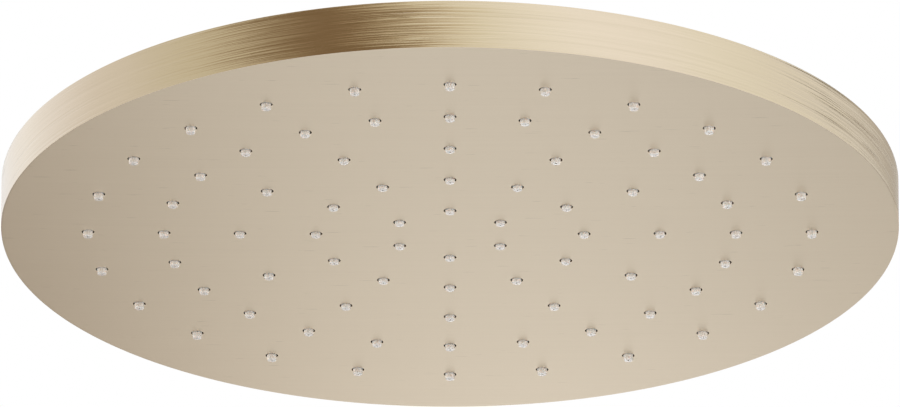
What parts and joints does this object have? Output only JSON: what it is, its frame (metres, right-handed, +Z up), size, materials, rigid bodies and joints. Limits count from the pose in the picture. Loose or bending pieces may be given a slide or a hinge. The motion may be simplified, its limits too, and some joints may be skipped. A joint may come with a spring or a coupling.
{
  "type": "rain shower head",
  "caption": "Round flat rain shower head with a crowned brushed face of silicone nozzles, a plain upright rim and a ball swivel whose union nut screws onto a shower arm.",
  "frame": {"origin": "middle of the inlet's sealing seat, on the thread's axis, at the top of the washer", "axes": "+Z up the thread's axis towards the arm, so the spray face looks along -Z; +X and +Y lie in the head's plane, with a nozzle of every ring on the Y axis"},
  "size_m": [0.25, 0.25, 0.0581],
  "materials": {
    "brushed_champagne": "fine linear brush on the face and the cover, circular brush on the rim",
    "satin_champagne": "satin, turned",
    "plain_brass": "as turned",
    "stainless": "plain",
    "silicone": "translucent, satin",
    "black_rubber": "matte",
    "grey_plastic": "moulded",
    "white_plastic": "moulded"
  },
  "bodies": {
    "union_nut": {"union_nut": "satin_champagne"},
    "swivel_stem": {"ball_stem": "satin_champagne", "nut_snap_ring": "stainless", "inlet_washer": "black_rubber", "filter_screen": "stainless", "regulator_body": "grey_plastic", "regulator_ring": "black_rubber"},
    "shower_head": {"face_pan": "brushed_champagne", "top_cover": "brushed_champagne", "collar_nut": "satin_champagne", "hub_lock_nut": "satin_champagne", "inlet_hub": "plain_brass", "cover_pillars": "plain_brass", "cover_screws": "stainless", "lock_washer": "stainless", "nozzle_mat": "silicone", "hub_seal": "black_rubber", "chamber_seal": "black_rubber", "chamber_plate": "grey_plastic", "ball_seat": "white_plastic", "friction_ring": "white_plastic"}
  },
  "joints": [
    {"name": "nut_spin", "type": "hinge", "parent": "union_nut", "child": "swivel_stem", "pos_m": [0, 0, 0], "axis": [0, 0, 1], "continuous": true},
    {"name": "head_tilt", "type": "hinge", "parent": "swivel_stem", "child": "shower_head", "pos_m": [0, 0, -0.02202], "axis": [1, 0, 0], "range_deg": [-15, 15]}
  ]
}
